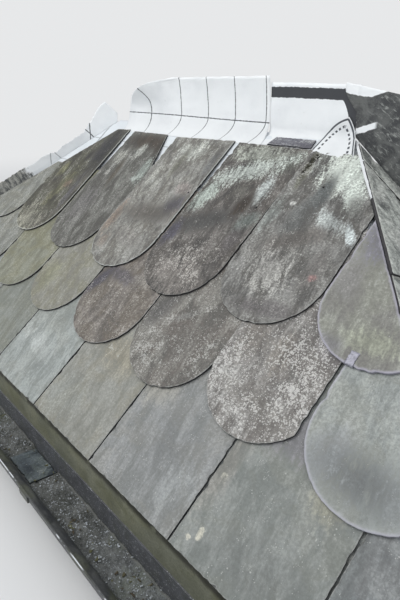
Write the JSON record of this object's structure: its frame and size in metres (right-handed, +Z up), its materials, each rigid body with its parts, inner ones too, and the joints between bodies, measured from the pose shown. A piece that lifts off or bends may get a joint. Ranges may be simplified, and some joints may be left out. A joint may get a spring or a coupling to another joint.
{
  "type": "slated bay window roof",
  "caption": "Hipped slate roof over a bay window in the inner corner of a wall, half re-slated, with round-tailed slates, underlay and moulded gutter.",
  "frame": {"origin": "on the wall face of the ledger, at mid height, in the middle of the roof's length along the back wall", "axes": "+X right along the back wall seen from outside, +Y into the wall, +Z up"},
  "size_m": [2.7048, 0.8532, 0.9525],
  "materials": {
    "old_timber": "weathered sawn softwood",
    "new_timber": "clean sawn softwood",
    "painted_joinery": "worn paint under green algae",
    "underlay": "matt woven sheet with thin grey lines",
    "eaves_slate": "riven, clean",
    "round_slate": "riven, weathered with lichen",
    "gutter_iron": "black paint, dirty",
    "joint_plate": "dull, dark",
    "lead": "dull grey lead"
  },
  "bodies": {
    "root": {"wall_ledger": "old_timber", "splayed_wall_rafter": "old_timber", "return_wall_rafter": "old_timber", "front_wall_plate": "old_timber", "return_wall_plate": "old_timber", "ceiling_bearer": "old_timber", "common_rafters": "old_timber", "left_jack_rafters": "old_timber", "hip_rafter": "old_timber", "front_hip_jacks": "old_timber", "return_hip_jacks": "old_timber", "ceiling_joists": "old_timber", "front_fascia": "painted_joinery", "return_fascia": "painted_joinery", "front_soffit": "painted_joinery", "return_soffit": "painted_joinery", "front_roof_boards": "new_timber", "return_roof_boards": "new_timber", "front_tilting_fillet": "new_timber", "return_tilting_fillet": "new_timber", "front_underlay": "underlay", "return_underlay": "underlay", "underlay_upstand": "underlay", "underlay_wall_sheet": "underlay", "underlay_splay_upstand": "underlay", "front_under_eaves_slates": "eaves_slate", "return_under_eaves_slates": "eaves_slate", "front_eaves_slates": "eaves_slate", "return_eaves_slates": "eaves_slate", "front_first_round_slates": "round_slate", "return_first_round_slates": "round_slate", "front_second_round_slates": "round_slate", "return_second_round_slates": "round_slate", "return_third_round_slates": "round_slate", "slate_packing_piece": "round_slate", "lead_tingle": "lead", "front_gutter_left": "gutter_iron", "front_gutter_right": "gutter_iron", "gutter_angle": "gutter_iron", "return_gutter": "gutter_iron", "gutter_union_strap": "gutter_iron", "gutter_joint_plate": "joint_plate", "gutter_brackets": "gutter_iron", "gutter_stop_ends": "gutter_iron", "gutter_outlet": "gutter_iron"}
  },
  "joints": []
}
